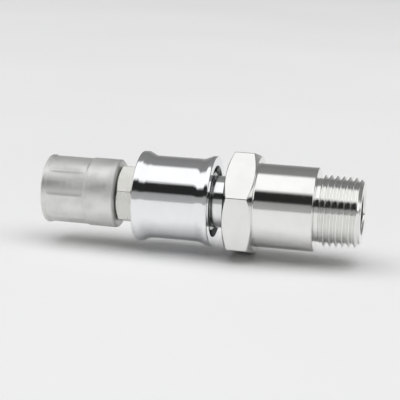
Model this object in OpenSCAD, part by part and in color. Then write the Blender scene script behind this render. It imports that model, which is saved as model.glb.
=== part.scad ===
// Quick disconnect coupler for a 3/8 in hose line: a ball-locking socket with a crimped hose shank,
// and a plug that carries a 1/2 in male pipe thread. Both halves hold a shut-off valve.
// The coupler lies along +X, from the hose to the pipe thread. The origin is on its axis,
// at the shoulder where the hose stops. Millimetres, drawn coupled, with the sleeve forward.

/* [Hose end] */
// Radius of the lands on the barbed hose shank
shank_r = 5.0; // [4.9:0.05:5.1]
// Length of the hose shank
shank_length = 22; // [21:0.5:24]
// Radius of the flow bore through the shank
hose_bore_r = 3.4; // [3:0.1:3.6]
// Outer radius of the crimp ferrule
ferrule_r = 10.2; // [9.8:0.1:10.4]
// Inner radius of the ferrule's gripping ribs
ferrule_grip_r = 7.9; // [7.7:0.1:8.1]
// Width across the flats of the socket's hexagon
tail_hex = 15.9; // [15.4:0.1:17]
// Length of the socket's hexagon
tail_hex_length = 5.5; // [5.3:0.1:6]
// Angle of both hexagons about the axis. The plug turns freely in the socket
hex_turn = 14; // [0:1:59]

/* [Sleeve] */
// Length of the release sleeve
sleeve_length = 22.6; // [22.2:0.1:23]
// Radius of the sleeve's waist, where the fingers hold it
sleeve_waist_r = 12.3; // [11.6:0.1:12.6]
// Radius of the sleeve's flared rims
sleeve_rim_r = 13.4; // [13:0.1:13.8]
// How far the sleeve draws back
sleeve_travel = 5; // [5:0.1:5.2]

/* [Lock] */
// Radius of a locking ball
ball_r = 1.5875; // [1.55:0.0125:1.5875]
// Radius at which the centres of the locked balls lie
ball_ring_r = 7.14; // [7.12:0.01:7.16]
// Rise of the sleeve's inner cone for each millimetre along the axis
cone_slope = 0.19; // [0.18:0.005:0.19]

/* [Plug] */
// Radius of the plug's nose
nose_r = 6.45; // [6.42:0.01:6.46]
// Radius of the plug's neck, between the sleeve and the hexagon
neck_r = 7.7; // [7.5:0.1:8]
// Width across the flats of the plug's hexagon
plug_hex = 28.6; // [27:0.1:30]
// Length of the plug's hexagon
plug_hex_length = 8.5; // [8.5:0.1:10]
// Radius of the plug's round barrel
barrel_r = 12.3; // [11.5:0.1:13]
// Length of the plug's round barrel
barrel_length = 17.2; // [12:0.1:22]
// Outer radius of the male pipe thread
thread_r = 10.5; // [10:0.1:10.7]
// Length of the male pipe thread
thread_length = 11.4; // [9:0.1:14]
// Radius of the flow bore through the plug's barrel
barrel_bore_r = 6; // [5:0.1:6.2]

/* [Valves] */
// How far each shut-off valve moves between open and closed
valve_travel = 2.6; // [2.6:0.05:2.7]
// Radius of the valves' rear stems
stem_r = 1.3; // [1.2:0.05:1.3]
// Radius of the pins with which the valves push each other open
pin_r = 1.2; // [1:0.05:1.25]

/* [Hidden] */
$fn = 96;

// Clearances
slide_gap = 0.1;
screw_gap = 0.02;
stem_gap = 0.05;
touch_gap = 0.02;
// How far cuts run past a surface, and how far joined solids run into each other
beyond = 1;
overlap = 0.5;

// Small chamfers on turned edges, and the larger one on the end of a spigot
edge = 0.2;
valve_edge = 0.3;
sleeve_edge = 0.3;
spigot_edge = 0.4;

// Share of the distance across a hexagon's flats that its round end faces reach, and their chamfer's angle
hex_face_share = 0.985;
hex_chamfer_angle = 30;

// Hose stop, the groove that holds the ferrule, the hexagon, and the shoulder that meets the body
stop_r = 6.4;
stop_end = 0.8;
lip_groove_r = 5.6;
hex_start = 2.4;
tail_hex_end = hex_start + tail_hex_length;
shoulder_r = tail_hex / 2 - 0.2;
body_start = tail_hex_end + 0.9;

// Hose shank
barb_depth = 0.5;
barb_pitch = 2.7;
barb_count = 7;
barb_start = -shank_length + 1.4;
barb_rise = 1.5;
barb_land = 0.9;
barb_drop = 0.1;
shank_taper = 0.8;
bore_flare = 0.3;
bore_flare_length = 0.5;

// Crimp ferrule
ferrule_start = -20;
ferrule_end = hex_start - 0.3;
ferrule_lip = 1.15;
ferrule_round = 0.7;
ferrule_edge = 0.4;
crimp_depth = 0.3;
crimp_flank = 0.6;
crimp_start = ferrule_start + 1.6;
crimp_end = -6.4;
rib_count = 8;
rib_pitch = 2.3;
rib_start = ferrule_start + 0.9;
rib_depth = 0.45;
rib_flank = 0.45;
rib_land = 0.7;
grip_flare = 0.9;

// Sleeve and socket body
sleeve_start = body_start - 0.4;
sleeve_end = sleeve_start + sleeve_length;
body_end = sleeve_end - 0.6;
body_r = 8.7;
socket_bore_r = nose_r + 0.05;
flange_r = 9.9;
flange_end = body_start + 1.3;
pocket_r = flange_r + slide_gap;
land_r = body_r + slide_gap;
land_start = body_end - 9.6;
left_rim = 1.8;
left_flare = 2.2;
right_rim = 1.2;
right_flare = 2.8;

// Lock
ball_count = 6;
ball_x = body_end - 7.2;
ball_hole_r = ball_r + 0.0725;
ball_lip_r = 1.5;
cone_end = ball_x + sleeve_travel;
cone_end_r = land_r + cone_slope * sleeve_travel;
groove_r = ball_r + 0.0325;

// Retaining ring
ring_start = cone_end + touch_gap;
ring_width = 1.1;
ring_inner_r = 8.2;
ring_groove_r = ring_inner_r - 0.05;
ring_outer_r = cone_end_r + 0.25;
ring_gap_angle = 24;
recess_r = ring_outer_r + 0.15;
recess_end = sleeve_end - 1.2;
mouth_r = 10.6;

// Sleeve washer and spring
washer_start = land_start - 0.6;
sleeve_wire_r = 0.45;
sleeve_coil_r = 9.35;
sleeve_turns = 4.5;

// Joint between the tail and the body
spigot_r = 7.4;
spigot_end = body_start + 4.6;
chamber_r = 6.2;
seal_room = 1;
tail_seal_ring_r = (spigot_r + screw_gap + chamber_r) / 2 + 0.05;

// Socket valve, drawn open
orifice_start = body_start + 6.6;
orifice_end = orifice_start + 0.9;
orifice_r = 4.8;
valve_meet = orifice_end + 2.9;
socket_seat_sum = orifice_start + orifice_r;
socket_head_r = 5.4;
socket_seal_r = 0.75;
socket_seal_x = orifice_start - 3.8;
socket_seal_ring_r = socket_seat_sum - valve_travel - (socket_seal_r + touch_gap) * sqrt(2) - socket_seal_x;
socket_guide_start = body_start - 3.9;
socket_guide_end = socket_guide_start + 1.3;
socket_head_start = socket_seal_x - 2.1;
socket_step_r = 5.2;
socket_step_start = socket_guide_start - 1;
socket_step_rise = 1.5;
socket_guide_r = chamber_r - 0.05;
socket_slot_r = socket_step_r - 0.2;
socket_hub_r = 3.5;
socket_stem_start = socket_guide_start - 3.3;
pin_root = 0.5;

// Plug
nose_start = orifice_end + 0.3;
neck_start = body_end + 0.1;
neck_end = body_end + 5.2;
hex_end = neck_end + plug_hex_length;
barrel_end = hex_end + barrel_length;
relief_width = 1.8;
relief_r = 9.3;
thread_start = barrel_end + relief_width;
plug_end = thread_start + thread_length;
plug_spigot_r = 7.4;
plug_spigot_end = hex_end - 1.5;
plug_spigot_gap = 0.07;
nose_taper = 0.8;
nose_taper_length = 1;
barrel_edge = 0.4;
barrel_bore_edge = 0.5;
thread_runout = 0.6;
thread_chamfer = 1;

// Nose seal and its backup ring
seal_groove_start = nose_start + 1.9;
seal_groove_end = seal_groove_start + 2;
seal_groove_r = 5.2;
nose_seal_r = 0.63;
nose_seal_x = seal_groove_start + nose_seal_r + 0.07;
backup_end = seal_groove_end - touch_gap;
backup_start = backup_end - 0.56;
backup_outer_r = nose_r - 0.01;
backup_inner_r = seal_groove_r + 0.05;

// Static seal on the plug's spigot
plug_seal_r = 0.5;
plug_seal_groove_r = plug_spigot_r - 0.95;
plug_seal_x = neck_end + 1.2;
plug_groove_start = plug_seal_x - plug_seal_r - 0.1;
plug_groove_end = plug_seal_x + plug_seal_r + 0.1;

// Plug valve, drawn open
plug_throat_r = 4.2;
plug_throat_edge = 0.3;
plug_chamber_r = 5.6;
plug_seat_start = ball_x + 2;
plug_seat_end = plug_seat_start + plug_chamber_r - plug_throat_r;
plug_valve_seal_r = 0.6;
plug_valve_seal_x = plug_seat_start + 3.5;
plug_seat_gap = plug_seat_start - plug_throat_r + valve_travel;
plug_valve_seal_ring_r = plug_valve_seal_x - plug_seat_gap - (plug_valve_seal_r + touch_gap) * sqrt(2);
plug_head_r = 4.8;
plug_head_end = plug_valve_seal_x + 2.2;
plug_stem_end = hex_end + 2.4;
plug_guide_r = plug_spigot_r - 0.1;
plug_slot_r = barrel_bore_r - 0.2;
plug_hub_r = 3.8;

// Valve springs
valve_wire_r = 0.3;
socket_coil_r = 2.9;
socket_turns = 3.5;
plug_coil_r = 3.2;
plug_turns = 7;

// Turns a profile of [radius, x] points round the coupler's axis
module turned(profile, angle = 360) {
    rotate([0, 90, 0])
        rotate_extrude(angle = angle)
            polygon(profile);
}

// A plain ring between two radii and two places along the axis
module ring(outer_r, inner_r, from, to) {
    turned([[inner_r, from], [outer_r, from], [outer_r, to], [inner_r, to]]);
}

// A ring of round section, such as an O-ring, centred at x
module torus(ring_r, section_r, x) {
    rotate([0, 90, 0])
        rotate_extrude()
            translate([ring_r, x])
                circle(r = section_r, $fn = 48);
}

// A hexagonal bar with its corners chamfered at both ends. With turn 0, two corners point up and down
module hex_bar(flats, from, to, turn) {
    corner_r = flats / sqrt(3);
    face_r = flats / 2 * hex_face_share;
    chamfer = (corner_r - face_r) * tan(hex_chamfer_angle);
    over_r = corner_r + beyond;
    over_chamfer = chamfer + beyond * tan(hex_chamfer_angle);
    intersection() {
        translate([from, 0, 0])
            rotate([0, 90, 0])
                rotate([0, 0, turn])
                    cylinder(r = corner_r, h = to - from, $fn = 6);
        turned([
            [0, from], [face_r, from], [over_r, from + over_chamfer],
            [over_r, to - over_chamfer], [face_r, to], [0, to]
        ]);
    }
}

// Height of a compression spring's wire above its first coil after t of its turns. Its end coils are closed
function spring_rise(t, turns, rise, wire_r) =
    let (closed_pitch = 2.15, closed = closed_pitch * wire_r)
    t < 1 ? closed * t
    : t > turns - 1 ? rise - closed * (turns - t)
    : closed + (rise - 2 * closed) * (t - 1) / (turns - 2);

// A coil spring between two places along the axis
module spring(coil_r, wire_r, from, to, turns) {
    sides = 8;
    steps_per_turn = 20;
    steps = round(turns * steps_per_turn);
    rise = to - from - 2 * wire_r;
    points = [
        for (i = [0 : steps])
            let (t = turns * i / steps, a = 360 * t, x = from + wire_r + spring_rise(t, turns, rise, wire_r))
            for (j = [0 : sides - 1])
                let (b = 360 * j / sides, r = coil_r + wire_r * cos(b))
                [x + wire_r * sin(b), r * cos(a), r * sin(a)]
    ];
    walls = [
        for (i = [0 : steps - 1], j = [0 : sides - 1])
            let (k = (j + 1) % sides)
            [i * sides + j, (i + 1) * sides + j, (i + 1) * sides + k, i * sides + k]
    ];
    first_cap = [for (j = [0 : sides - 1]) j];
    last_cap = [for (j = [sides - 1 : -1 : 0]) steps * sides + j];
    polyhedron(points, concat(walls, [first_cap, last_cap]), convexity = 10);
}

// A disc that guides a valve's stem and lets the flow past in its slots
module stem_guide(outer_r, hub_r, slot_r, from, to) {
    slot_count = 3;
    slot_angle = 92;
    difference() {
        ring(outer_r, stem_r + stem_gap, from, to);
        for (i = [0 : slot_count - 1])
            rotate([360 / slot_count * i, 0, 0])
                turned([
                    [hub_r, from - beyond], [slot_r, from - beyond],
                    [slot_r, to + beyond], [hub_r, to + beyond]
                ], slot_angle);
    }
}

// Rolled into the groove behind the hose stop, and squeezed over the hose
module crimp_ferrule() {
    relief_r = ferrule_grip_r + rib_depth;
    ribs = [
        for (i = [0 : rib_count - 1])
            let (x = rib_start + i * rib_pitch)
            each [
                [relief_r, x], [ferrule_grip_r, x + rib_flank],
                [ferrule_grip_r, x + rib_flank + rib_land], [relief_r, x + 2 * rib_flank + rib_land]
            ]
    ];
    lip_start = ferrule_end - ferrule_lip;
    lip_r = lip_groove_r + slide_gap;
    outside = [
        [lip_r, lip_start], [lip_r, ferrule_end],
        [ferrule_r - ferrule_round, ferrule_end], [ferrule_r, ferrule_end - ferrule_round],
        [ferrule_r, crimp_end], [ferrule_r - crimp_depth, crimp_end - crimp_flank],
        [ferrule_r - crimp_depth, crimp_start], [ferrule_r, crimp_start - crimp_flank],
        [ferrule_r, ferrule_start + ferrule_edge], [ferrule_r - ferrule_edge, ferrule_start]
    ];
    inside = concat([[ferrule_grip_r + grip_flare, ferrule_start]], ribs, [[relief_r, lip_start]]);
    color("gainsboro")
        turned(concat(outside, inside));
}

// Hose shank, hose stop, hexagon and the spigot that screws into the socket body, in one piece
module socket_tail() {
    barbs = [
        for (i = [0 : barb_count - 1])
            let (x = barb_start + i * barb_pitch)
            each [
                [shank_r - barb_depth, x], [shank_r, x + barb_rise], [shank_r, x + barb_rise + barb_land],
                [shank_r - barb_depth, x + barb_rise + barb_land + barb_drop]
            ]
    ];
    last_barb = barb_start + barb_count * barb_pitch;
    color("silver")
        difference() {
            union() {
                turned(concat(
                    [[0, -shank_length], [shank_r - shank_taper, -shank_length]],
                    barbs,
                    [
                        [shank_r - barb_depth, last_barb - barb_drop], [shank_r, last_barb + barb_drop],
                        [shank_r, 0], [stop_r, 0], [stop_r, stop_end],
                        [lip_groove_r, stop_end], [lip_groove_r, hex_start + overlap], [0, hex_start + overlap]
                    ]
                ));
                hex_bar(tail_hex, hex_start, tail_hex_end, hex_turn);
                turned([
                    [0, tail_hex_end - overlap], [shoulder_r, tail_hex_end - overlap],
                    [shoulder_r, body_start], [spigot_r, body_start],
                    [spigot_r, spigot_end - spigot_edge], [spigot_r - spigot_edge, spigot_end], [0, spigot_end]
                ]);
            }
            turned([
                [0, -shank_length - beyond], [hose_bore_r + bore_flare, -shank_length - beyond],
                [hose_bore_r + bore_flare, -shank_length], [hose_bore_r, -shank_length + bore_flare_length],
                [hose_bore_r, socket_step_start - socket_step_rise], [socket_step_r, socket_step_start],
                [socket_step_r, socket_guide_start], [chamber_r, socket_guide_start],
                [chamber_r, spigot_end + beyond], [0, spigot_end + beyond]
            ]);
        }
}

// O-ring between the end of the tail's spigot and the socket body
module tail_seal() {
    color("dimgray")
        torus(tail_seal_ring_r, seal_room / 2 - touch_gap, spigot_end + seal_room / 2);
}

// The socket's body: plug bore, ball holes, valve seat and the groove for the retaining ring
module socket_body() {
    cup_end = spigot_end + seal_room;
    cup_seat_r = socket_seat_sum - cup_end;
    mouth_chamfer = 0.6;
    color("lightsteelblue")
        difference() {
            turned([
                [0, body_start], [flange_r - edge, body_start], [flange_r, body_start + edge],
                [flange_r, flange_end], [body_r, flange_end], [body_r, ring_start - touch_gap],
                [ring_groove_r, ring_start - touch_gap], [ring_groove_r, ring_start + ring_width + touch_gap],
                [body_r, ring_start + ring_width + touch_gap], [body_r, body_end - edge],
                [body_r - edge, body_end], [0, body_end]
            ]);
            turned([
                [0, body_start - beyond], [spigot_r + screw_gap, body_start - beyond],
                [spigot_r + screw_gap, cup_end], [cup_seat_r, cup_end],
                [orifice_r, orifice_start], [orifice_r, orifice_end], [socket_bore_r, orifice_end],
                [socket_bore_r, body_end - mouth_chamfer], [socket_bore_r + mouth_chamfer, body_end],
                [socket_bore_r + mouth_chamfer, body_end + beyond], [0, body_end + beyond]
            ]);
            for (i = [1 : ball_count])
                ball_place(i)
                    ball_hole();
        }
}

// Puts its children at ball i's place on the ring, with +Z pointing outward
module ball_place(i) {
    rotate([360 / ball_count * (i - 1), 0, 0])
        translate([ball_x, 0, 0])
            children();
}

// Radial hole for a ball. Its narrow inner lip stops the ball when the plug is out
module ball_hole() {
    lip_start = socket_bore_r - 0.1;
    lip_end = ball_ring_r - 0.04;
    translate([0, 0, lip_end])
        cylinder(r = ball_hole_r, h = body_r + beyond - lip_end);
    translate([0, 0, lip_start])
        cylinder(r1 = ball_lip_r, r2 = ball_hole_r, h = lip_end - lip_start);
    translate([0, 0, lip_start - beyond])
        cylinder(r = ball_lip_r, h = beyond);
}

// One locking ball, in its hole and in the plug's groove
module ball(i) {
    color("whitesmoke")
        ball_place(i)
            translate([0, 0, ball_ring_r])
                sphere(r = ball_r, $fn = 48);
}

// Snap ring at the body's mouth that stops the sleeve's forward travel
module retaining_ring() {
    color("slategray")
        rotate([ring_gap_angle / 2, 0, 0])
            turned([
                [ring_inner_r, ring_start], [ring_outer_r, ring_start],
                [ring_outer_r, ring_start + ring_width], [ring_inner_r, ring_start + ring_width]
            ], 360 - ring_gap_angle);
}

// Spool-shaped release sleeve. Inside: spring pocket, land that locks the balls, cone that frees them
module sleeve() {
    color("silver")
        turned([
            [pocket_r, sleeve_start], [sleeve_rim_r - sleeve_edge, sleeve_start],
            [sleeve_rim_r, sleeve_start + sleeve_edge], [sleeve_rim_r, sleeve_start + left_rim],
            [sleeve_waist_r, sleeve_start + left_rim + left_flare],
            [sleeve_waist_r, sleeve_end - right_rim - right_flare],
            [sleeve_rim_r, sleeve_end - right_rim], [sleeve_rim_r, sleeve_end - sleeve_edge],
            [sleeve_rim_r - sleeve_edge, sleeve_end],
            [mouth_r, sleeve_end], [recess_r, recess_end], [recess_r, cone_end],
            [cone_end_r, cone_end], [land_r, ball_x], [land_r, land_start], [pocket_r, land_start]
        ]);
}

// Washer between the sleeve's shoulder and its spring
module sleeve_washer() {
    color("gray")
        ring(pocket_r - slide_gap, land_r, washer_start, land_start - touch_gap);
}

// Spring that pushes the sleeve forward
module sleeve_spring() {
    color("gray")
        spring(sleeve_coil_r, sleeve_wire_r, flange_end + touch_gap, washer_start - touch_gap, sleeve_turns);
}

// Guide for the stem of the socket's valve
module socket_valve_guide() {
    color("darkgoldenrod")
        stem_guide(socket_guide_r, socket_hub_r, socket_slot_r, socket_guide_start, socket_guide_end);
}

// The socket's shut-off valve, held open by the plug's valve
module socket_valve() {
    groove_start = socket_seal_x - socket_seal_r - touch_gap;
    groove_end = socket_seal_x + socket_seal_r + touch_gap;
    groove_bottom = socket_seal_ring_r - socket_seal_r - touch_gap;
    lip_r = orifice_r - 0.2;
    head_end = groove_end + 0.55;
    tip = valve_meet - touch_gap;
    color("goldenrod")
        turned([
            [0, socket_stem_start], [stem_r - valve_edge, socket_stem_start],
            [stem_r, socket_stem_start + valve_edge], [stem_r, socket_head_start],
            [socket_head_r - valve_edge, socket_head_start], [socket_head_r, socket_head_start + valve_edge],
            [socket_head_r, groove_start], [groove_bottom, groove_start],
            [groove_bottom, groove_end], [lip_r, groove_end], [lip_r, head_end - edge],
            [lip_r - edge, head_end], [pin_r + pin_root, head_end], [pin_r, head_end + pin_root],
            [pin_r, tip - edge], [pin_r - edge, tip], [0, tip]
        ]);
}

// O-ring that closes on the socket body's seat
module socket_valve_seal() {
    color("dimgray")
        torus(socket_seal_ring_r, socket_seal_r, socket_seal_x);
}

// Spring that closes the socket's valve when the plug leaves
module socket_valve_spring() {
    color("gray")
        spring(
            socket_coil_r, valve_wire_r,
            socket_guide_end + touch_gap, socket_head_start - touch_gap, socket_turns
        );
}

// O-ring between the plug's nose and the socket's bore
module nose_seal() {
    color("dimgray")
        torus(seal_groove_r + touch_gap + nose_seal_r, nose_seal_r, nose_seal_x);
}

// Flat ring that keeps the nose seal from being blown out
module backup_ring() {
    color("white")
        ring(backup_outer_r, backup_inner_r, backup_start, backup_end);
}

// The plug's nose, with its seal groove, ball groove, valve seat, neck and threaded spigot
module plug_nose() {
    color("lightsteelblue")
        difference() {
            turned([
                [0, nose_start], [nose_r - nose_taper, nose_start], [nose_r, nose_start + nose_taper_length],
                [nose_r, seal_groove_start], [seal_groove_r, seal_groove_start],
                [seal_groove_r, seal_groove_end], [nose_r, seal_groove_end],
                [nose_r, neck_start], [neck_r - edge, neck_start], [neck_r, neck_start + edge],
                [neck_r, neck_end], [plug_spigot_r, neck_end],
                [plug_spigot_r, plug_groove_start], [plug_seal_groove_r, plug_groove_start],
                [plug_seal_groove_r, plug_groove_end], [plug_spigot_r, plug_groove_end],
                [plug_spigot_r, plug_spigot_end - spigot_edge], [plug_spigot_r - spigot_edge, plug_spigot_end],
                [0, plug_spigot_end]
            ]);
            torus(ball_ring_r, groove_r, ball_x);
            turned([
                [0, nose_start - beyond], [plug_throat_r + plug_throat_edge, nose_start - beyond],
                [plug_throat_r + plug_throat_edge, nose_start], [plug_throat_r, nose_start + plug_throat_edge],
                [plug_throat_r, plug_seat_start], [plug_chamber_r, plug_seat_end],
                [plug_chamber_r, plug_spigot_end + beyond], [0, plug_spigot_end + beyond]
            ]);
        }
}

// Hexagon, barrel and male pipe thread of the plug, in one piece. The thread is its outer cylinder
module plug_adapter() {
    color("gainsboro")
        difference() {
            union() {
                hex_bar(plug_hex, neck_end, hex_end, hex_turn);
                turned([
                    [0, hex_end - overlap], [barrel_r, hex_end - overlap], [barrel_r, barrel_end - barrel_edge],
                    [barrel_r - barrel_edge, barrel_end], [relief_r, barrel_end],
                    [relief_r, thread_start - thread_runout],
                    [thread_r, thread_start], [thread_r, plug_end - thread_chamfer],
                    [thread_r - thread_chamfer, plug_end], [0, plug_end]
                ]);
            }
            turned([
                [0, neck_end - beyond], [plug_spigot_r + plug_spigot_gap, neck_end - beyond],
                [plug_spigot_r + plug_spigot_gap, hex_end], [barrel_bore_r, hex_end],
                [barrel_bore_r, plug_end - barrel_bore_edge], [barrel_bore_r + barrel_bore_edge, plug_end],
                [barrel_bore_r + barrel_bore_edge, plug_end + beyond], [0, plug_end + beyond]
            ]);
        }
}

// O-ring between the plug's spigot and the adapter
module plug_seal() {
    color("dimgray")
        torus(plug_seal_groove_r + touch_gap + plug_seal_r, plug_seal_r, plug_seal_x);
}

// Guide for the stem of the plug's valve, trapped between the spigot and the adapter
module plug_valve_guide() {
    color("darkgoldenrod")
        stem_guide(plug_guide_r, plug_hub_r, plug_slot_r, plug_spigot_end + touch_gap, hex_end - touch_gap);
}

// The plug's shut-off valve, held open by the socket's valve
module plug_valve() {
    groove_start = plug_valve_seal_x - plug_valve_seal_r - touch_gap;
    groove_end = plug_valve_seal_x + plug_valve_seal_r + touch_gap;
    groove_bottom = plug_valve_seal_ring_r - plug_valve_seal_r - touch_gap;
    lip_r = plug_throat_r - 0.25;
    lip_start = groove_start - 0.65;
    tip = valve_meet + touch_gap;
    color("goldenrod")
        turned([
            [0, tip], [pin_r - edge, tip], [pin_r, tip + edge], [pin_r, lip_start - pin_root],
            [pin_r + pin_root, lip_start], [lip_r - edge, lip_start], [lip_r, lip_start + edge],
            [lip_r, groove_start], [groove_bottom, groove_start], [groove_bottom, groove_end],
            [plug_head_r, groove_end], [plug_head_r, plug_head_end - valve_edge],
            [plug_head_r - valve_edge, plug_head_end], [stem_r, plug_head_end],
            [stem_r, plug_stem_end - valve_edge], [stem_r - valve_edge, plug_stem_end], [0, plug_stem_end]
        ]);
}

// O-ring that closes on the plug nose's seat
module plug_valve_seal() {
    color("dimgray")
        torus(plug_valve_seal_ring_r, plug_valve_seal_r, plug_valve_seal_x);
}

// Spring that closes the plug's valve when the plug leaves
module plug_valve_spring() {
    color("gray")
        spring(plug_coil_r, valve_wire_r, plug_head_end + touch_gap, plug_spigot_end, plug_turns);
}

crimp_ferrule();
socket_tail();
tail_seal();
socket_body();
retaining_ring();
socket_valve_guide();
socket_valve();
socket_valve_seal();
socket_valve_spring();
sleeve();
sleeve_washer();
sleeve_spring();
ball(1);  // ball_1
ball(2);  // ball_2
ball(3);  // ball_3
ball(4);  // ball_4
ball(5);  // ball_5
ball(6);  // ball_6
nose_seal();
backup_ring();
plug_nose();
plug_adapter();
plug_seal();
plug_valve_guide();
plug_valve();
plug_valve_seal();
plug_valve_spring();
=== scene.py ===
import math

import bmesh
import bpy
import numpy as np
from mathutils import Matrix, Quaternion, Vector


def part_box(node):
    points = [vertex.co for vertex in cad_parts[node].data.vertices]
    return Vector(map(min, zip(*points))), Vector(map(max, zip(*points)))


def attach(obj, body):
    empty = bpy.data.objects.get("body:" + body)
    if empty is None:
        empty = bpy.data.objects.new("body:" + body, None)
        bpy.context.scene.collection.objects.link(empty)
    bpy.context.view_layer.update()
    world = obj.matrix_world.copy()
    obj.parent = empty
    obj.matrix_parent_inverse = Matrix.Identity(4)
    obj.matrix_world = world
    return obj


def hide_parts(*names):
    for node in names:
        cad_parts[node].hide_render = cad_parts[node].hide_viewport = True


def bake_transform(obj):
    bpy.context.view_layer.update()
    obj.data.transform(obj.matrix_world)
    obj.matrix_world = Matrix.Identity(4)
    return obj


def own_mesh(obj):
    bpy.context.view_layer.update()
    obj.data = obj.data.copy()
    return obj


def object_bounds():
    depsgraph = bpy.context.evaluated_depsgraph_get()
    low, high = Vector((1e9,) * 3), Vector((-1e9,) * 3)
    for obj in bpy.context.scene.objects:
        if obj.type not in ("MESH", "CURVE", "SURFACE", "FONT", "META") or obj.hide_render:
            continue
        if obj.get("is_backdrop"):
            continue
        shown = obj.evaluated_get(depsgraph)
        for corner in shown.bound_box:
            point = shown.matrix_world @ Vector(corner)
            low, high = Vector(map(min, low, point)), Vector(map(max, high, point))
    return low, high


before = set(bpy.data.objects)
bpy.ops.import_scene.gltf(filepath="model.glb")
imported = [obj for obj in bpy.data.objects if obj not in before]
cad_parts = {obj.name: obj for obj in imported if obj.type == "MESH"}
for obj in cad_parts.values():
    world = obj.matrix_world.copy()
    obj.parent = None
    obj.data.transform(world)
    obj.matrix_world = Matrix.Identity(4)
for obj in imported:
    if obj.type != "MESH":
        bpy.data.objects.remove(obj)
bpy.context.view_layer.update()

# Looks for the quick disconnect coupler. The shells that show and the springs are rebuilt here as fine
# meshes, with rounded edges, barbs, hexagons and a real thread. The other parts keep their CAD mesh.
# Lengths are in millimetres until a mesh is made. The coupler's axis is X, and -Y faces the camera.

MM = 0.001
HALF_TURN = math.radians(180)
SIXTH_TURN = math.radians(60)

# How finely the pieces are meshed: steps round the axis, the angle of one step of a fillet, the distance
# from an edge at which a side is cut to hold its shading, and the distance within which points are welded
ROUND_STEPS = 192
HEX_STEPS = 288
TAIL_STEPS = 216
ARC_STEP = math.radians(15)
HOLD = 0.04
WELD = 1e-6


# ---------------------------------------------------------------- sizes, from the frame

def span(node):
    """Start and end of a CAD node along the axis, and its outer radius."""
    low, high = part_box(node)
    return low.x / MM, high.x / MM, high.y / MM


def hexagon(node, start, end):
    """Corner radius of a CAD node's hexagon, and the angle of one corner above -Y."""
    far, angle = 0, 0
    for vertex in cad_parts[node].data.vertices:
        x, y, z = vertex.co / MM
        if start - 0.1 <= x <= end + 0.1 and math.hypot(y, z) > far:
            far, angle = math.hypot(y, z), math.atan2(z, -y)
    return far, angle


FERRULE_START, FERRULE_END, FERRULE_R = span("crimp_ferrule")
TAIL_START, TAIL_END, _ = span("socket_tail")
SLEEVE_START, SLEEVE_END, RIM_R = span("sleeve")
BODY_START, BODY_END, FLANGE_R = span("socket_body")
NOSE_START, NOSE_END, NECK_R = span("plug_nose")
HEX_START, PLUG_END, _ = span("plug_adapter")
BALL_X = (span("ball_1")[0] + span("ball_1")[1]) / 2
WASHER_END = span("sleeve_washer")[1]

TAIL_HEX_START = FERRULE_END + 0.3
TAIL_HEX_END = BODY_START - 0.9
HEX_END = NOSE_END + 1.5
THREAD_START = PLUG_END - 11.4
BARREL_END = THREAD_START - 1.8


# ---------------------------------------------------------------- outlines

def corner(x, r, fillet=0.0, step=3.0):
    """A corner of an outline. step is the longest piece of the side after it, or None to leave it whole."""
    return x, r, fillet, step


def arc(centre_x, centre_r, radius, start, end, step=12):
    """Corners along an arc from start to end degrees, where 0 points along the axis and 90 outward."""
    count = max(2, math.ceil(abs(end - start) / step))
    turns = [math.radians(start + (end - start) * i / count) for i in range(count + 1)]
    return [corner(centre_x + radius * math.cos(t), centre_r + radius * math.sin(t)) for t in turns]


def corner_arc(before, here, after):
    """The points that a corner becomes: an arc if it has a fillet, or itself."""
    tip = Vector(here[:2])
    fillet = here[2]
    if fillet == 0:
        return [tip]
    back = Vector(before[:2]) - tip
    ahead = Vector(after[:2]) - tip
    half = back.angle(ahead) / 2
    reach = min(fillet / math.tan(half), 0.49 * back.length, 0.49 * ahead.length)
    radius = reach * math.tan(half)
    middle = tip + (back.normalized() + ahead.normalized()).normalized() * radius / math.sin(half)
    first = tip + back.normalized() * reach - middle
    sweep = first.angle_signed(tip + ahead.normalized() * reach - middle)
    count = max(2, math.ceil(abs(sweep) / ARC_STEP))
    return [middle + Matrix.Rotation(-sweep * k / count, 2) @ first for k in range(count + 1)]


def cuts(length, step):
    """Where a side is cut: evenly, and close to both ends, which keeps smooth shading to the edges."""
    if step is None:
        return []
    pieces = max(1, math.ceil(length / step))
    places = [length * k / pieces for k in range(1, pieces)]
    return [HOLD, *places, length - HOLD] if length > 4 * HOLD else places


def rounded(corners):
    """Closed outline as (x, r) points, with its fillets as arcs and its sides cut into steps."""
    neighbours = zip(corners[-1:] + corners[:-1], corners, corners[1:] + corners[:1])
    arcs = [corner_arc(before, here, after) for before, here, after in neighbours]
    points = []
    for this, following, (_, _, _, step) in zip(arcs, arcs[1:] + arcs[:1], corners):
        side = following[0] - this[-1]
        points += this + [this[-1] + side.normalized() * cut for cut in cuts(side.length, step)]
    return np.array(points)


# ---------------------------------------------------------------- meshes

def even_angles(count=ROUND_STEPS):
    """Evenly spaced angles round the axis."""
    return np.arange(count) * 2 * math.pi / count


def hex_angles(first_corner, count=HEX_STEPS):
    """Angles round the axis that crowd together at the six corners of a hexagon."""
    half, evenness = count // 12, 0.2
    share = np.arange(half + 1) / half
    crowded = 1 - np.cos(share * math.pi / 2)
    fan = SIXTH_TURN / 2 * (evenness * share + (1 - evenness) * crowded)
    sector = np.concatenate([fan[:-1], SIXTH_TURN - fan[:0:-1]])
    return np.concatenate([sector + SIXTH_TURN * k for k in range(6)]) + first_corner


def place(x, r, theta):
    """Points in metres from arrays of places along the axis, radii, and angles above -Y."""
    return np.stack([x, -r * np.cos(theta), r * np.sin(theta)], axis=-1) * MM


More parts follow.
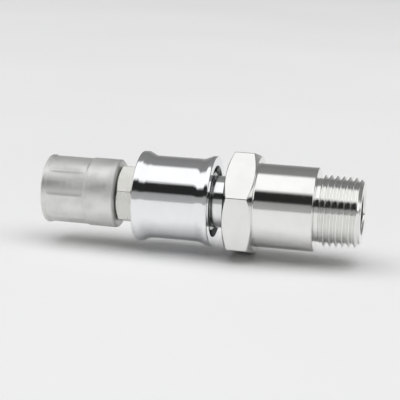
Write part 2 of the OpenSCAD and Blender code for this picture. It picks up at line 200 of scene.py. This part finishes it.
def grid_faces(rows, columns, closed_rows, seam_shift=0):
    """Quads of a grid that is closed round its columns. At the seam, row i joins row i + seam_shift."""
    i, j = np.meshgrid(np.arange(rows if closed_rows else rows - 1), np.arange(columns), indexing="ij")
    shift = np.where(j == columns - 1, seam_shift, 0)
    keep = i + 1 + shift < rows + (1 if closed_rows else 0)
    i, j, shift = i[keep], j[keep], shift[keep]
    up, right = (i + 1) % rows, (j + 1) % columns
    quads = [
        i * columns + j, up * columns + j,
        (up + shift) % rows * columns + right, (i + shift) * columns + right,
    ]
    return np.stack(quads, axis=-1)


def mesh_object(name, grids):
    """One smooth object from grids of (points, faces), welded where they meet."""
    points, faces, base = [], [], 0
    for grid_points, grid_quads in grids:
        flat = grid_points.reshape(-1, 3)
        points.append(flat)
        faces.append(grid_quads + base)
        base += len(flat)
    mesh = bpy.data.meshes.new(name)
    mesh.from_pydata(np.concatenate(points).tolist(), [], np.concatenate(faces).tolist())
    work = bmesh.new()
    work.from_mesh(mesh)
    bmesh.ops.remove_doubles(work, verts=work.verts, dist=WELD)
    bmesh.ops.dissolve_degenerate(work, edges=work.edges, dist=WELD / 10)
    bmesh.ops.recalc_face_normals(work, faces=work.faces)
    work.to_mesh(mesh)
    work.free()
    mesh.shade_smooth()
    made = bpy.data.objects.new(name, mesh)
    bpy.context.scene.collection.objects.link(made)
    return made


def turned(name, corners, theta, shape=None):
    """Turns a closed outline round the axis. shape(x, r, theta) may lower the radius."""
    outline = rounded(corners)
    x, angle = np.meshgrid(outline[:, 0], theta, indexing="ij")
    r = np.meshgrid(outline[:, 1], theta, indexing="ij")[0]
    if shape is not None:
        r = shape(x, r, angle)
    return mesh_object(name, [(place(x, r, angle), grid_faces(len(outline), len(theta), True))])


def across_flats_r(corner_r):
    """Half the distance across the flats of a hexagon."""
    return corner_r * math.cos(SIXTH_TURN / 2)


def hex_cut(corner_r, first_corner, start, end, sharpness=120):
    """A shape that keeps a turned part within a hexagonal bar. Its edges come out slightly rounded."""
    flat_r = across_flats_r(corner_r)

    def cut(x, r, theta):
        total = r ** -sharpness
        for k in range(6):
            facing = np.cos(theta - first_corner - SIXTH_TURN * (k + 0.5))
            total = total + (np.maximum(facing, 0) / flat_r) ** sharpness
        return np.where((x >= start - WELD) & (x <= end + WELD), total ** (-1 / sharpness), r)

    return cut


def hex_corners(corner_r, start, end, fine=0.12):
    """Corners of the outline over a hexagon, with 30 degree chamfers at both ends."""
    face_share, over_share = 0.985, 1.02
    face_r = across_flats_r(corner_r) * face_share
    over_r = corner_r * over_share
    chamfer = (over_r - face_r) * math.tan(math.radians(30))
    return [
        corner(start, face_r, 0, fine), corner(start + chamfer, over_r, 0, 0.5),
        corner(end - chamfer, over_r, 0, fine), corner(end, face_r, 0),
    ]


# ---------------------------------------------------------------- socket side

def make_ferrule():
    """Ferrule with the marks of the crimping dies, and ribs inside that grip the hose."""
    grip_r, lip_r, relief = 7.9, 5.7, 0.45
    rib_count, rib_pitch, first_rib = 8, 2.3, FERRULE_START + 0.9
    crimped_r = FERRULE_R - 0.3
    crimp_start, crimp_end = FERRULE_START + 1.6, -6.4
    lip_start = FERRULE_END - 1.15
    dies, ridge, ridge_width, fade = 8, 0.22, 0.05, 1.2
    ribs = []
    for i in range(rib_count):
        x = first_rib + rib_pitch * i
        ribs += [
            corner(x, grip_r + relief, 0.15), corner(x + 0.45, grip_r, 0.1),
            corner(x + 1.15, grip_r, 0.1), corner(x + 1.6, grip_r + relief, 0.15),
        ]
    outline = [
        corner(lip_start, lip_r, 0.1), corner(FERRULE_END, lip_r, 0.15),
        corner(FERRULE_END, FERRULE_R, 0.8),
        corner(crimp_end, FERRULE_R, 0.5), corner(crimp_end - 0.7, crimped_r, 0.5, 0.4),
        corner(crimp_start, crimped_r, 0.4), corner(crimp_start - 0.5, FERRULE_R, 0.25),
        corner(FERRULE_START, FERRULE_R, 0.4), corner(FERRULE_START, grip_r + 0.9, 0.15),
        *ribs, corner(lip_start, grip_r + relief, 0.3),
    ]

    def die_marks(x, r, theta):
        half = HALF_TURN / dies
        off = np.mod(theta + half, 2 * half) - half
        window = np.clip((x - crimp_start) / fade, 0, 1) * np.clip((crimp_end - 0.7 - x) / fade, 0, 1)
        outer = r > (grip_r + FERRULE_R) / 2
        return r + outer * window * ridge * np.exp(-((off / ridge_width) ** 2))

    return turned("ferrule", outline, even_angles(), die_marks)


def make_tail():
    """Barbed shank, hose stop, hexagon, shoulder and spigot of the socket."""
    shank_r, bore_r = 5.0, 3.4
    barb_count, barb_pitch, barb_depth, first_barb = 7, 2.7, 0.5, TAIL_START + 1.4
    stop_r, stop_end, groove_r = 6.4, 0.8, 5.6
    chamber_r, step_r, spigot_r = 6.2, 5.2, 7.4
    guide_start = BODY_START - 3.9
    corner_r, first_corner = hexagon("socket_tail", TAIL_HEX_START, TAIL_HEX_END)
    shoulder_r = across_flats_r(corner_r) - 0.2
    barbs = []
    for i in range(barb_count):
        x = first_barb + barb_pitch * i
        barbs += [
            corner(x, shank_r - barb_depth, 0.15), corner(x + 1.5, shank_r, 0.3),
            corner(x + 2.4, shank_r, 0.06), corner(x + 2.5, shank_r - barb_depth, 0.08),
        ]
    outline = [
        corner(TAIL_START, bore_r + 0.3, 0.1), corner(TAIL_START, shank_r - 0.8, 0.2), *barbs,
        corner(-1.6, shank_r, 0.1), corner(0, shank_r, 0.1),
        corner(0, stop_r, 0.15), corner(stop_end, stop_r, 0.15),
        corner(stop_end, groove_r, 0.1), corner(TAIL_HEX_START, groove_r, 0.1),
        *hex_corners(corner_r, TAIL_HEX_START, TAIL_HEX_END),
        corner(TAIL_HEX_END, shoulder_r, 0.08), corner(BODY_START, shoulder_r, 0.08),
        corner(BODY_START, spigot_r, 0.1),
        corner(TAIL_END, spigot_r, 0.4), corner(TAIL_END, chamber_r, 0.15),
        corner(guide_start, chamber_r), corner(guide_start, step_r, 0.1),
        corner(guide_start - 1, step_r, 0.5), corner(guide_start - 2.5, bore_r, 0.8),
        corner(TAIL_START + 0.5, bore_r, 0.2),
    ]
    cut = hex_cut(corner_r, first_corner, TAIL_HEX_START, TAIL_HEX_END)
    return turned("tail", outline, hex_angles(first_corner, TAIL_STEPS), cut)


def make_sleeve():
    """Spool-shaped release sleeve with its pocket, locking land, cone and bell mouth."""
    waist_r, pocket_r, land_r = RIM_R - 1.1, FLANGE_R + 0.1, 8.8
    left_rim, left_flare, right_rim, right_flare = 1.8, 2.2, 1.2, 2.8
    cone_end, cone_end_r = BALL_X + 5, 9.75
    recess_r, recess_end, mouth_r = 10.15, SLEEVE_END - 1.2, 10.6
    land_start = WASHER_END + 0.02
    outline = [
        corner(SLEEVE_START, pocket_r, 0.2), corner(SLEEVE_START, RIM_R, 0.45),
        corner(SLEEVE_START + left_rim, RIM_R, 1.0),
        corner(SLEEVE_START + left_rim + left_flare, waist_r, 2.2),
        corner(SLEEVE_END - right_rim - right_flare, waist_r, 3.0),
        corner(SLEEVE_END - right_rim, RIM_R, 0.8),
        corner(SLEEVE_END, RIM_R, 0.45), corner(SLEEVE_END, mouth_r, 0.3),
        corner(recess_end, recess_r, 0.2),
        corner(cone_end, recess_r, 0.05), corner(cone_end, cone_end_r, 0.05),
        corner(BALL_X, land_r, 0.5), corner(land_start, land_r, 0.1), corner(land_start, pocket_r),
    ]
    return turned("release_sleeve", outline, even_angles())


# ---------------------------------------------------------------- plug side

def make_nose():
    """The plug's nose with its seal groove and ball groove, its neck, and the spigot in the adapter."""
    nose_r, spigot_r, throat_r, chamber_r = 6.45, 7.4, 4.2, 5.6
    ball_ring_r, groove_r = 7.14, 1.62
    seal_start, seal_end, seal_r = NOSE_START + 1.9, NOSE_START + 3.9, 5.2
    neck_start, seat_start = BODY_END + 0.1, BALL_X + 2
    ring_start, ring_end, ring_r = HEX_START + 0.6, HEX_START + 1.8, spigot_r - 0.95
    dip = math.degrees(math.asin((ball_ring_r - nose_r) / groove_r))
    outline = [
        corner(NOSE_START, throat_r + 0.3, 0.15), corner(NOSE_START, nose_r - 0.8, 0.4),
        corner(NOSE_START + 1, nose_r, 0.6),
        corner(seal_start, nose_r, 0.12), corner(seal_start, seal_r, 0.1), corner(seal_end, seal_r, 0.1),
        corner(seal_end, nose_r, 0.12),
        *arc(BALL_X, ball_ring_r, groove_r, 180 + dip, 360 - dip),
        corner(neck_start, nose_r, 0.1), corner(neck_start, NECK_R, 0.3), corner(HEX_START, NECK_R),
        corner(HEX_START, spigot_r), corner(ring_start, spigot_r, 0.1), corner(ring_start, ring_r, 0.1),
        corner(ring_end, ring_r, 0.1), corner(ring_end, spigot_r, 0.1),
        corner(NOSE_END, spigot_r, 0.4), corner(NOSE_END, chamber_r, 0.1),
        corner(seat_start + 1.4, chamber_r, 0.1), corner(seat_start, throat_r, 0.1),
    ]
    return turned("nose", outline, even_angles())


def make_adapter():
    """Hexagon, barrel and tapered male pipe thread, with the helix cut as real ridges."""
    barrel_r, relief_r, thread_r, bore_r, spigot_bore_r = 12.3, 9.3, 10.5, 6.0, 7.47
    pitch, depth, taper, crest_sharpness, rows_per_turn = 1.814, 1.16, 1 / 32, 0.97, 16
    corner_r, first_corner = hexagon("plug_adapter", HEX_START, HEX_END)
    relief_end, end_r = THREAD_START - 0.6, thread_r - 1.6
    theta = hex_angles(first_corner)
    hex_shape = hex_cut(corner_r, first_corner, HEX_START, HEX_END)

    def thread(x, angle):
        wave = np.cos(2 * math.pi * x / pitch - (angle - first_corner))
        ridge = np.arcsin(crest_sharpness * wave) / math.asin(crest_sharpness) / 2 + 0.5
        return thread_r - (x - THREAD_START) * taper - depth * (1 - ridge)

    def shape(x, r, angle):
        return np.where(x > relief_end - WELD, np.minimum(r, thread(x, angle)), hex_shape(x, r, angle))

    def envelope(x):
        run_in = relief_r + (x - relief_end) * 2
        end_chamfer = end_r + (PLUG_END - x)
        return np.minimum(np.minimum(thread_r, run_in), end_chamfer)

    corners = [
        corner(PLUG_END, end_r),
        corner(PLUG_END, bore_r + 0.5, 0.1), corner(PLUG_END - 0.5, bore_r, 0.2),
        corner(HEX_END, bore_r), corner(HEX_END, spigot_bore_r), corner(HEX_START, spigot_bore_r, 0.1),
        *hex_corners(corner_r, HEX_START, HEX_END),
        corner(HEX_END, barrel_r + 0.2), corner(HEX_END + 0.2, barrel_r, 0.15),
        corner(BARREL_END, barrel_r, 0.5), corner(BARREL_END, relief_r, 0.3),
        corner(relief_end, relief_r, 0, None),
    ]
    outline = rounded(corners)
    x, angle = np.meshgrid(outline[:, 0], theta, indexing="ij")
    r = shape(x, np.meshgrid(outline[:, 1], theta, indexing="ij")[0], angle)
    shell = (place(x, r, angle), grid_faces(len(outline), len(theta), False))

    # The threaded end is a grid whose rows climb one pitch each turn, so that they follow the helix
    step = pitch / rows_per_turn
    rows = math.ceil((PLUG_END - relief_end + pitch) / step) + 2
    lead = pitch * (theta - first_corner) / (2 * math.pi)
    x = relief_end - pitch + np.arange(rows)[:, None] * step + lead[None, :]
    x = np.clip(x, relief_end, PLUG_END)
    angle = np.broadcast_to(theta, x.shape)
    r = shape(x, envelope(x), angle)
    helix = (place(x, r, angle), grid_faces(rows, len(theta), False, rows_per_turn))
    return mesh_object("adapter", [shell, helix])


# ---------------------------------------------------------------- springs

def make_spring(name, node, wire_r, turns, sides=16, steps=64):
    """A coil spring in place of its CAD node, with closed end coils."""
    start, end, outer_r = span(node)
    coil_r = outer_r - wire_r
    closed = 2.1 * wire_r
    rise = end - start - 2 * wire_r
    t = np.linspace(0, turns, round(turns * steps) + 1)
    x = start + wire_r + np.interp(t, [0, 1, turns - 1, turns], [0, closed, rise - closed, rise])
    around = np.arange(sides) * 2 * math.pi / sides
    grid_x = x[:, None] + wire_r * np.sin(around)[None, :]
    grid_r = coil_r + wire_r * np.cos(around)[None, :] + 0 * x[:, None]
    theta = -2 * math.pi * t[:, None] - HALF_TURN / 2 + 0 * around[None, :]
    points = place(grid_x, grid_r, theta).reshape(-1, 3)
    made = mesh_object(name, [(points, grid_faces(len(t), sides, False))])
    work = bmesh.new()
    work.from_mesh(made.data)
    bmesh.ops.holes_fill(work, edges=[edge for edge in work.edges if edge.is_boundary], sides=sides)
    work.to_mesh(made.data)
    work.free()
    return made


# ---------------------------------------------------------------- materials

def add_node(tree, kind, inputs=None, **settings):
    """A shader node with its settings, and its inputs set to values or linked to sockets."""
    made = tree.nodes.new(kind)
    for key, value in settings.items():
        setattr(made, key, value)
    for key, value in (inputs or {}).items():
        if isinstance(value, bpy.types.NodeSocket):
            tree.links.new(value, made.inputs[key])
        else:
            made.inputs[key].default_value = value
    return made


def noise(tree, where, scale, stretch=(1, 1, 1), detail=3.0, rough=0.55):
    """Noise of the given scale per metre, finer along the axes with more stretch."""
    spot = add_node(tree, "ShaderNodeMapping", {"Vector": where, "Scale": stretch})
    inputs = {"Vector": spot.outputs[0], "Scale": scale, "Detail": detail, "Roughness": rough}
    return add_node(tree, "ShaderNodeTexNoise", inputs).outputs[0]


def spread(tree, value, low, high, to_low, to_high):
    """Maps a value from one range to another, clamped."""
    inputs = {"Value": value, "From Min": low, "From Max": high, "To Min": to_low, "To Max": to_high}
    return add_node(tree, "ShaderNodeMapRange", inputs).outputs[0]


def blank_material(name):
    """A new material, as (material, node tree, shader, object coordinates)."""
    material = bpy.data.materials.new("look_" + name)
    material.use_nodes = True
    tree = material.node_tree
    shader = tree.nodes["Principled BSDF"]
    where = add_node(tree, "ShaderNodeTexCoord").outputs["Object"]
    return material, tree, shader, where


def vector_math(tree, operation, inputs):
    """A vector math node."""
    return add_node(tree, "ShaderNodeVectorMath", inputs, operation=operation)


def scalar_math(tree, operation, first, second):
    """The result of a sum, product or other operation on two values."""
    return add_node(tree, "ShaderNodeMath", {0: first, 1: second}, operation=operation).outputs[0]


def mixed_colour(tree, factor, first, second):
    """The colour socket of a mix from the first colour to the second."""
    inputs = {"Factor": factor, "A": (*first, 1), "B": (*second, 1)}
    mix = add_node(tree, "ShaderNodeMix", inputs, data_type="RGBA")
    return next(socket for socket in mix.outputs if socket.type == "RGBA")


def bump(tree, height, strength, distance, under=None, **settings):
    """Bump of the given height, on top of another bump's normal if there is one."""
    inputs = {"Height": height, "Strength": strength, "Distance": distance}
    if under is not None:
        inputs["Normal"] = under
    return add_node(tree, "ShaderNodeBump", inputs, **settings).outputs[0]


def radius_level(tree, where, start, end, level):
    """1 where the distance from the axis is on start's side of the range, and level on end's side."""
    across = vector_math(tree, "MULTIPLY", {0: where, 1: (0, 1 / MM, 1 / MM)}).outputs[0]
    radius = vector_math(tree, "LENGTH", {0: across}).outputs["Value"]
    return spread(tree, radius, start, end, 1, level)


def metal(
    name, colour, tarnish, roughness, lathe_marks=0.3, scratches=0.4, mottle=0.5,
    mark_scale=2600, metallic=1.0, zone=(0, 1, 1),
):
    """Turned or plated metal: lathe rings round the axis, hairline scratches, smudges and duller edges.

    zone is a start and end radius in millimetres, and the share of the colour that is left beyond them.
    """
    material, tree, shader, where = blank_material(name)
    smudge = noise(tree, where, 160, detail=4)
    rings = noise(tree, where, mark_scale, (1, 0.012, 0.012), detail=2)
    hair = noise(tree, where, 900, (0.12, 1, 1), detail=2, rough=0.4)
    scratch = spread(tree, hair, 0.66, 0.72, 0, 1)
    speck = noise(tree, where, 5200, detail=1)

    # Colour: duller on edges and smudges, and darker in the zone; inside the sleeve's mouth that darkening
    # is painted shade
    edge = add_node(tree, "ShaderNodeNewGeometry").outputs["Pointiness"]
    worn = spread(tree, edge, 0.52, 0.62, 0, 0.35)
    blotch = spread(tree, smudge, 0.42, 0.72, 0, mottle)
    tint = mixed_colour(tree, scalar_math(tree, "MAXIMUM", worn, blotch), colour, tarnish)
    shaded = vector_math(tree, "SCALE", {0: tint, "Scale": radius_level(tree, where, *zone)})
    tree.links.new(shaded.outputs[0], shader.inputs["Base Color"])

    # Roughness: higher on smudges, and alternating along the lathe rings
    gloss = spread(tree, smudge, 0.35, 0.7, roughness * 0.8, roughness * 1.35)
    ringed = spread(tree, rings, 0.35, 0.65, -0.12 * roughness, 0.12 * roughness)
    tree.links.new(scalar_math(tree, "ADD", gloss, ringed), shader.inputs["Roughness"])
    shader.inputs["Metallic"].default_value = metallic

    # Relief: lathe rings, hairline scratches and a fine grain
    marks = bump(tree, rings, lathe_marks, 0.012 * MM)
    hairs = bump(tree, scratch, scratches, 0.006 * MM, marks, invert=True)
    tree.links.new(bump(tree, speck, 0.25, 0.004 * MM, hairs), shader.inputs["Normal"])
    return material


def polymer(name, colour, shade, roughness, grain):
    """Rubber or plastic with a fine moulded grain and a faint bloom."""
    material, tree, shader, where = blank_material(name)
    bloom = noise(tree, where, 420, detail=3)
    fine = noise(tree, where, 6000, detail=2)
    tint = mixed_colour(tree, spread(tree, bloom, 0.35, 0.7, 0, 1), colour, shade)
    gloss = spread(tree, bloom, 0.3, 0.7, roughness - 0.08, roughness + 0.1)
    tree.links.new(tint, shader.inputs["Base Color"])
    tree.links.new(gloss, shader.inputs["Roughness"])
    tree.links.new(bump(tree, fine, grain, 0.01 * MM), shader.inputs["Normal"])
    return material


# A look for each material slot, and one more for the snap ring
LOOKS = {
    "ferrule": metal(
        "ferrule", (0.80, 0.805, 0.785), (0.66, 0.66, 0.64), 0.5,
        lathe_marks=0.7, mark_scale=1900, metallic=0.85),
    "tail": metal(
        "tail", (0.76, 0.76, 0.725), (0.60, 0.59, 0.55), 0.25,
        lathe_marks=0.35, zone=(7.8, 7.9, 0.88)),
    # The sleeve keeps only 0.22 of its colour below 10.55 mm from the axis: painted shade inside its mouth
    # and recess
    "sleeve": metal(
        "sleeve", (0.90, 0.905, 0.92), (0.80, 0.81, 0.83), 0.085,
        lathe_marks=0.12, scratches=0.25, mottle=0.35, zone=(10.75, 10.55, 0.22)),
    # The socket body's colour is darkened below its steel as painted shade, since it shows only deep in the
    # sleeve's mouth
    "socket_body": metal("socket_body", (0.50, 0.505, 0.51), (0.38, 0.38, 0.38), 0.28),
    "plug_nose": metal("plug_nose", (0.88, 0.885, 0.89), (0.74, 0.74, 0.74), 0.11, lathe_marks=0.2),
    "adapter": metal(
        "adapter", (0.87, 0.87, 0.855), (0.76, 0.755, 0.735), 0.105,
        lathe_marks=0.16, scratches=0.3, mottle=0.4, zone=(12.6, 13, 0.96)),
    "small_steel": metal("small_steel", (0.62, 0.63, 0.64), (0.45, 0.45, 0.45), 0.24, lathe_marks=0.2),
    # The snap ring: a blackened finish, kept very dark as painted shade in the sleeve's mouth
    "ring": metal("ring", (0.12, 0.12, 0.125), (0.08, 0.08, 0.08), 0.26, lathe_marks=0.2),
    "balls": metal(
        "balls", (0.88, 0.88, 0.89), (0.8, 0.8, 0.8), 0.06,
        lathe_marks=0, scratches=0.15, mottle=0.2),
    "brass": metal("brass", (0.78, 0.57, 0.26), (0.55, 0.38, 0.17), 0.24, lathe_marks=0.4),
    "rubber": polymer("rubber", (0.012, 0.012, 0.013), (0.03, 0.03, 0.031), 0.52, 0.3),
    "backup": polymer("backup", (0.82, 0.81, 0.78), (0.72, 0.70, 0.66), 0.4, 0.2),
}


# ---------------------------------------------------------------- pieces and bodies

# The snap ring is blackened, and made dark enough to paint the shade in the sleeve's mouth, though it
# shares its material slot with the springs
OTHER_LOOKS = {"retaining_ring": "ring"}


def fit(piece, node, slot):
    """piece stands for a CAD node and takes its finish from the record's slot."""
    piece.data.materials.append(LOOKS[slot])
    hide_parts(node)
    return piece


for build, node, slot, body in (
    (make_ferrule, "crimp_ferrule", "ferrule", "socket"),
    (make_tail, "socket_tail", "tail", "socket"),
    (make_sleeve, "sleeve", "sleeve", "release_sleeve"),
    (make_nose, "plug_nose", "plug_nose", "plug"),
    (make_adapter, "plug_adapter", "adapter", "plug"),
):
    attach(fit(build(), node, slot), body)

for name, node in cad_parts.items():
    for slot in node.material_slots:
        slot.material = LOOKS[OTHER_LOOKS.get(name, slot.material.name.split(".")[0])]


def coil(name, node, wire_r, turns):
    """A spring that stands for its CAD node, with the ends of that node."""
    low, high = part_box(node)
    return fit(make_spring(name, node, wire_r, turns), node, "small_steel"), (low.x, 0, 0), (high.x, 0, 0)


# The sleeve's spring, which is pressed against the socket's flange, goes with the socket; the valves'
# springs, which sit between two bodies, stay fixed where they are
spring, start, end = coil("sleeve_coil", "sleeve_spring", wire_r=0.45, turns=4.5)
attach(spring, "socket")
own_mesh(spring)

spring, start, end = coil("socket_valve_coil", "socket_valve_spring", wire_r=0.3, turns=3.5)
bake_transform(spring)

spring, start, end = coil("plug_valve_coil", "plug_valve_spring", wire_r=0.3, turns=7)
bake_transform(spring)


# ---------------------------------------------------------------- floor, light and camera

def make_floor():
    """Large pale floor under the lowest point of the coupler."""
    size, sink = 6.0, 0.02 * MM
    low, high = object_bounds()
    mesh = bpy.data.meshes.new("floor")
    middle = (low + high) / 2
    sides = ((-1, -1), (1, -1), (1, 1), (-1, 1))
    spots = [(middle.x + sx * size, middle.y + sy * size, low.z - sink) for sx, sy in sides]
    mesh.from_pydata(spots, [], [(0, 1, 2, 3)])
    floor = bpy.data.objects.new("floor", mesh)
    bpy.context.scene.collection.objects.link(floor)
    material, tree, shader, where = blank_material("floor")
    shade = noise(tree, where, 3, detail=2)
    tint = mixed_colour(tree, spread(tree, shade, 0.3, 0.7, 0, 1), (0.86, 0.86, 0.86), (0.9, 0.9, 0.9))
    tree.links.new(tint, shader.inputs["Base Color"])
    shader.inputs["Roughness"].default_value = 0.9
    mesh.materials.append(material)
    floor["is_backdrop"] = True


# Brightness of the studio by degrees above the horizon, from the camera's side over the top to the back.
# Below the horizon, where the degrees are negative, the floor hides it.
STUDIO = [
    (-180, 0.60), (-90, 0.85), (-1, 0.84), (1, 0.42), (9, 0.38), (19, 0.34), (24, 0.02), (47, 0.02),
    (56, 1.12), (102, 1.12), (111, 0.26), (150, 0.21), (170, 0.34), (180, 0.55),
]
BACKDROP = 0.86


def make_world():
    """Studio of soft panels: grey low down, a dark gap, a broad white panel overhead, then grey behind."""
    world = bpy.data.worlds.new("studio")
    bpy.context.scene.world = world
    world.use_nodes = True
    tree = world.node_tree
    tree.nodes.clear()
    where = add_node(tree, "ShaderNodeTexCoord").outputs["Generated"]
    axes = add_node(tree, "ShaderNodeSeparateXYZ", {"Vector": where})
    front = scalar_math(tree, "MULTIPLY", axes.outputs["Y"], -1.0)
    height = scalar_math(tree, "ARCTAN2", axes.outputs["Z"], front)
    ramp = add_node(tree, "ShaderNodeValToRGB", {"Fac": spread(tree, height, -math.pi, math.pi, 0, 1)})
    stops = ramp.color_ramp.elements
    while len(stops) < len(STUDIO):
        stops.new(0.5)
    top = max(level for _, level in STUDIO)
    for stop, (angle, level) in zip(stops, STUDIO):
        stop.position = (angle + 180) / 360
        stop.color = (level / top, level / top, level / top, 1)
    studio = add_node(tree, "ShaderNodeBackground", {"Color": ramp.outputs["Color"], "Strength": top})
    plain = add_node(tree, "ShaderNodeBackground", {"Color": (1, 1, 1, 1), "Strength": BACKDROP})
    seen = add_node(tree, "ShaderNodeLightPath").outputs["Is Camera Ray"]
    both = add_node(tree, "ShaderNodeMixShader", {0: seen, 1: studio.outputs[0], 2: plain.outputs[0]})
    add_node(tree, "ShaderNodeOutputWorld", {"Surface": both.outputs[0]})


def make_light():
    """One large soft panel overhead, a little towards the camera. The metal mirrors only the studio."""
    data = bpy.data.lights.new("soft_panel", "AREA")
    data.shape, data.size, data.energy = "SQUARE", 3.0, 26.0
    panel = bpy.data.objects.new("soft_panel", data)
    low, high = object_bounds()
    middle = (low + high) / 2
    panel.location = middle + Vector((0, -0.4, 2.0))
    panel.visible_glossy = False
    panel.rotation_mode = "QUATERNION"
    panel.rotation_quaternion = (middle - panel.location).to_track_quat("-Z", "Y")
    bpy.context.scene.collection.objects.link(panel)


def make_camera():
    """The photograph's viewing angle: slightly above, slightly from the thread's end, a little rolled."""
    yaw, rise, roll = math.radians(12), math.radians(12), math.radians(2.2)
    lens, distance = 120.0, 0.395
    data = bpy.data.cameras.new("camera")
    data.lens = lens
    data.clip_start, data.clip_end = 0.01, 50
    camera = bpy.data.objects.new("camera", data)
    low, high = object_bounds()
    back = Vector((math.sin(yaw) * math.cos(rise), -math.cos(yaw) * math.cos(rise), math.sin(rise)))
    camera.location = (low + high) / 2 + back * distance
    camera.rotation_mode = "QUATERNION"
    camera.rotation_quaternion = (-back).to_track_quat("-Z", "Y") @ Quaternion((0, 0, 1), roll)
    bpy.context.scene.collection.objects.link(camera)
    bpy.context.scene.camera = camera


make_floor()
make_world()
make_light()
make_camera()
bpy.context.scene.view_settings.view_transform = "Standard"
